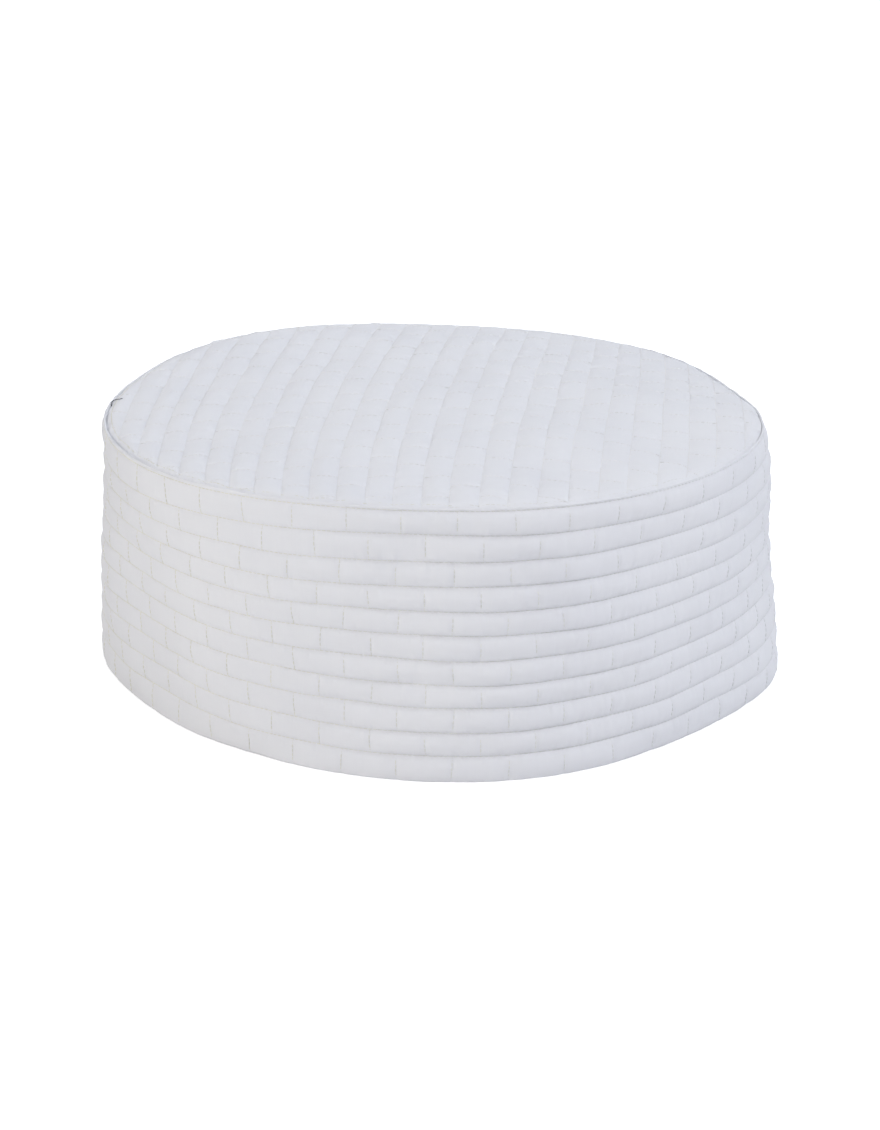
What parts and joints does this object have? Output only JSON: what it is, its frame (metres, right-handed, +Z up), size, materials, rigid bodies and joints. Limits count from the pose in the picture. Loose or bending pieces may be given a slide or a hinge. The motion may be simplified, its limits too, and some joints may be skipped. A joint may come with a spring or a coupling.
{
  "type": "quilted cotton skullcap",
  "caption": "Low round quilted cotton prayer cap with a flat crown, a straight brick-stitched side band and an open, turned lower edge.",
  "frame": {"origin": "bottom centre of the box round the cap, in the plane of the lower edge", "axes": "+Z up from the lower edge to the crown, +Y along the crown's quilting rows from the wearer's forehead to the back of the head, +X to the wearer's right"},
  "size_m": [0.1936, 0.1936, 0.0789],
  "materials": {
    "outer_cotton": "matte plain-weave white cotton, slightly cool",
    "lining_cotton": "matte plain-weave white cotton",
    "wadding": "soft white fibre wadding",
    "tape": "matte cotton bias tape",
    "thread": "cream twisted sewing thread, slight sheen",
    "dark_thread": "dark twisted sewing thread"
  },
  "bodies": {
    "root": {"back_seam_tape": "tape", "back_seam_thread": "thread", "band_bobbin_thread_01": "thread", "band_bobbin_thread_02": "thread", "band_bobbin_thread_03": "thread", "band_bobbin_thread_04": "thread", "band_bobbin_thread_05": "thread", "band_bobbin_thread_06": "thread", "band_bobbin_thread_07": "thread", "band_bobbin_thread_08": "thread", "band_bobbin_thread_09": "thread", "band_bobbin_thread_10": "thread", "band_lining": "lining_cotton", "band_needle_thread_01": "thread", "band_needle_thread_02": "thread", "band_needle_thread_03": "thread", "band_needle_thread_04": "thread", "band_needle_thread_05": "thread", "band_needle_thread_06": "thread", "band_needle_thread_07": "thread", "band_needle_thread_08": "thread", "band_needle_thread_09": "thread", "band_needle_thread_10": "thread", "band_shell": "outer_cotton", "band_wadding": "wadding", "crown_bobbin_thread": "thread", "crown_lining": "lining_cotton", "crown_needle_thread": "thread", "crown_seam_binding": "tape", "crown_seam_thread": "thread", "crown_shell": "outer_cotton", "crown_wadding": "wadding", "hem_facing": "lining_cotton", "loose_thread_end": "dark_thread"}
  },
  "joints": []
}
